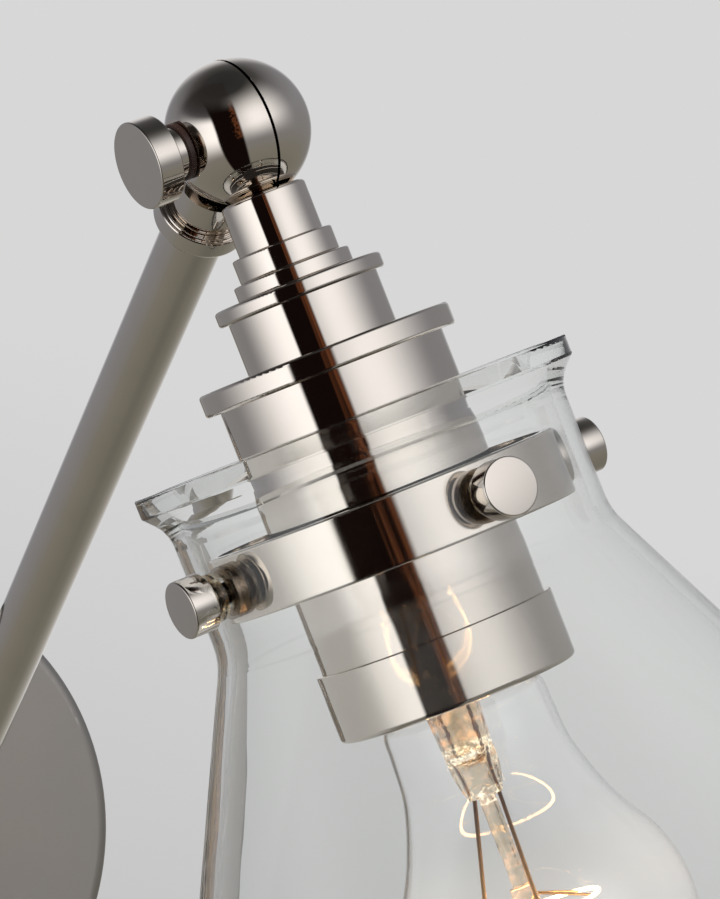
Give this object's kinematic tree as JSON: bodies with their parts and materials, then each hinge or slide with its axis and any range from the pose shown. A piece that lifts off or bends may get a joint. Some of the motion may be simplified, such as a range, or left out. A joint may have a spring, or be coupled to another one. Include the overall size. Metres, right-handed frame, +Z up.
{
  "type": "library wall light",
  "caption": "Adjustable wall light: round backplate, straight arm between clamped ball swivels, stepped nickel socket and a clear cone glass shade held by thumb screws.",
  "frame": {"origin": "middle of the mounting strap's slots, in the wall's plane behind the backplate", "axes": "+Z up, +Y into the wall, the light reaches out along -Y, the swivels turn about X"},
  "size_m": [0.1876, 0.4249, 0.2359],
  "materials": {
    "polished_nickel": "mirror-polished nickel plate on brass",
    "dark_washer": "dark brown fibre washer",
    "zinc_steel": "zinc-plated steel",
    "brass": "bright brass",
    "green_screw": "green earth screw",
    "porcelain": "white glazed porcelain",
    "clear_glass": "clear blown glass, fire-polished",
    "clear_sleeve": "clear nylon",
    "bulb_glass": "thin clear glass",
    "bulb_cap": "rolled brass cap",
    "black_glass": "black vitrite",
    "solder": "solder",
    "lead_wire": "nickel and copper wire",
    "filament": "glowing tungsten"
  },
  "bodies": {
    "wall": {"mounting_strap": "zinc_steel", "ground_screw": "green_screw", "wall_nipple": "zinc_steel", "wall_lock_nut": "zinc_steel", "backplate": "polished_nickel", "wall_ring_large": "polished_nickel", "wall_ring_small": "polished_nickel", "wall_swivel_half": "polished_nickel"},
    "arm": {"arm_lower_half": "polished_nickel", "arm_lower_ferrule": "polished_nickel", "arm_tube": "polished_nickel", "arm_upper_ferrule": "polished_nickel", "arm_upper_half": "polished_nickel"},
    "lower_knob": {"lower_knob": "polished_nickel", "lower_clamp_washer": "dark_washer", "lower_clamp_stud": "zinc_steel"},
    "upper_knob": {"upper_knob": "polished_nickel", "upper_clamp_washer": "dark_washer", "upper_clamp_stud": "zinc_steel"},
    "shade": {"socket_swivel_half": "polished_nickel", "socket_ring_small": "polished_nickel", "socket_ring_large": "polished_nickel", "flanged_cap": "polished_nickel", "socket_cup": "polished_nickel", "bottom_collar": "polished_nickel", "socket_nipple": "zinc_steel", "socket_lock_nut": "zinc_steel", "lampholder_body": "porcelain", "lampholder_screws": "brass", "lampholder_shell": "brass", "lampholder_contact": "brass", "gallery_web": "polished_nickel", "gallery_ring": "polished_nickel", "screw_bosses": "polished_nickel", "screw_sleeves": "clear_sleeve", "glass_shade": "clear_glass"},
    "thumb_screw_1": {"thumb_screw_1": "polished_nickel"},
    "thumb_screw_2": {"thumb_screw_2": "polished_nickel"},
    "thumb_screw_3": {"thumb_screw_3": "polished_nickel"},
    "thumb_screw_4": {"thumb_screw_4": "polished_nickel"},
    "bulb": {"bulb_glass": "bulb_glass", "bulb_cap": "bulb_cap", "bulb_insulator": "black_glass", "bulb_tip": "solder", "bulb_mount": "bulb_glass", "bulb_leads": "lead_wire", "bulb_filament": "filament"}
  },
  "joints": [
    {"name": "arm_tilt", "type": "hinge", "parent": "wall", "child": "arm", "pos_m": [0, -0.0478, 0], "axis": [-1, 0, 0], "range_deg": [-45, 45]},
    {"name": "shade_tilt", "type": "hinge", "parent": "arm", "child": "shade", "pos_m": [0, -0.29997, 0.1588], "axis": [-1, 0, 0], "range_deg": [-2, 95]},
    {"name": "lower_knob_turn", "type": "hinge", "parent": "arm", "child": "lower_knob", "pos_m": [0, -0.0478, 0], "axis": [-1, 0, 0], "range_deg": [0, 720]},
    {"name": "upper_knob_turn", "type": "hinge", "parent": "arm", "child": "upper_knob", "pos_m": [0, -0.29997, 0.1588], "axis": [-1, 0, 0], "range_deg": [0, 720]},
    {"name": "bulb_turn", "type": "hinge", "parent": "shade", "child": "bulb", "pos_m": [0, -0.31794, 0.04784], "axis": [0, -0.1599, -0.9871], "range_deg": [0, 1080]},
    {"name": "thumb_screw_1_turn", "type": "hinge", "parent": "shade", "child": "thumb_screw_1", "pos_m": [0, -0.3124, 0.08205], "axis": [1, 0, 0], "range_deg": [0, 720]},
    {"name": "thumb_screw_2_turn", "type": "hinge", "parent": "shade", "child": "thumb_screw_2", "pos_m": [0, -0.3124, 0.08205], "axis": [0, -0.9871, 0.1599], "range_deg": [0, 720]},
    {"name": "thumb_screw_3_turn", "type": "hinge", "parent": "shade", "child": "thumb_screw_3", "pos_m": [0, -0.3124, 0.08205], "axis": [-1, 0, 0], "range_deg": [0, 720]},
    {"name": "thumb_screw_4_turn", "type": "hinge", "parent": "shade", "child": "thumb_screw_4", "pos_m": [0, -0.3124, 0.08205], "axis": [0, 0.9871, -0.1599], "range_deg": [0, 720]}
  ]
}
